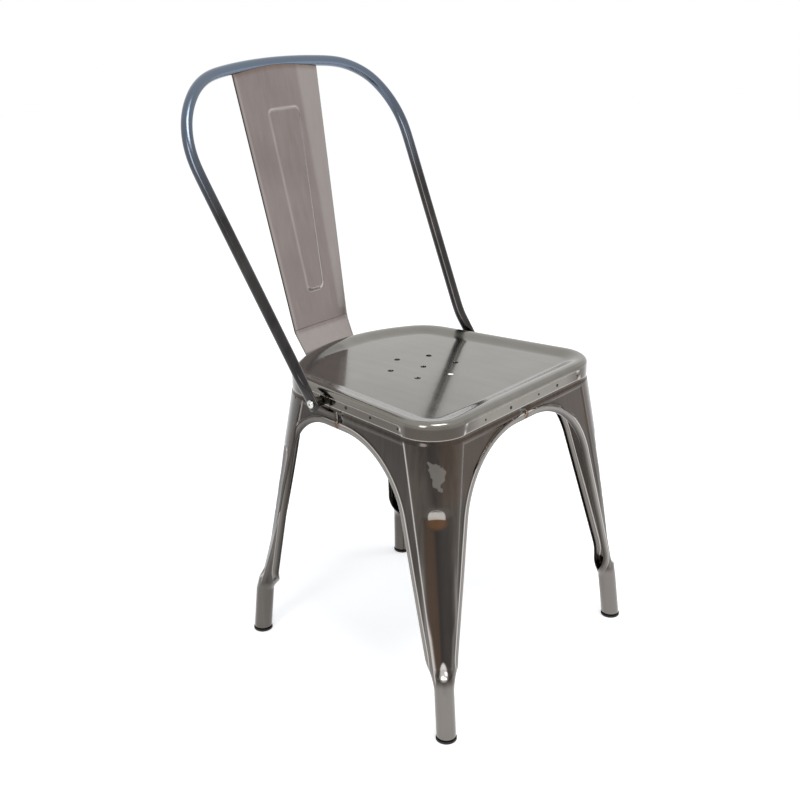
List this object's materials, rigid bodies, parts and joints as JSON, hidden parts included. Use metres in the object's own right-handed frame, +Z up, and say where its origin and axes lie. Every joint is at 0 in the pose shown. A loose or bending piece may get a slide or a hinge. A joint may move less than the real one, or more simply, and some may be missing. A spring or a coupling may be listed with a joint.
{
  "type": "bistro chair",
  "caption": "Stacking metal chair with a pressed seat pan, splayed sheet legs rolled into round feet, a bent tube back hoop and a narrow embossed splat.",
  "frame": {"origin": "centre of the whole chair's bounding box, on the floor", "axes": "+Z up; -Y is the front of the chair, where the sitter's knees are; +X is the sitter's left"},
  "size_m": [0.4534, 0.5204, 0.8506],
  "materials": {
    "seat_steel": "polished raw steel under clear lacquer",
    "leg_steel": "polished raw steel under clear lacquer, with heat tint at the welds",
    "foot_rubber": "matt black",
    "hoop_steel": "polished raw steel tube under clear lacquer",
    "splat_steel": "polished raw steel sheet under clear lacquer",
    "zinc_fixing": "bright zinc plate",
    "brace_steel": "raw flat bar under clear lacquer"
  },
  "bodies": {
    "root": {"seat_pan": "seat_steel", "leg_front_right": "leg_steel", "leg_front_left": "leg_steel", "leg_rear_right": "leg_steel", "leg_rear_left": "leg_steel", "foot_plug_front_right": "foot_rubber", "foot_plug_front_left": "foot_rubber", "foot_plug_rear_right": "foot_rubber", "foot_plug_rear_left": "foot_rubber", "back_hoop": "hoop_steel", "back_splat": "splat_steel", "hoop_bolt_right": "zinc_fixing", "hoop_bolt_left": "zinc_fixing", "hoop_spacer_right": "zinc_fixing", "hoop_spacer_left": "zinc_fixing", "hoop_washer_right": "zinc_fixing", "hoop_washer_left": "zinc_fixing", "hoop_nut_right": "zinc_fixing", "hoop_nut_left": "zinc_fixing", "brace_lower": "brace_steel", "brace_upper": "brace_steel", "brace_rivet": "zinc_fixing"}
  },
  "joints": []
}
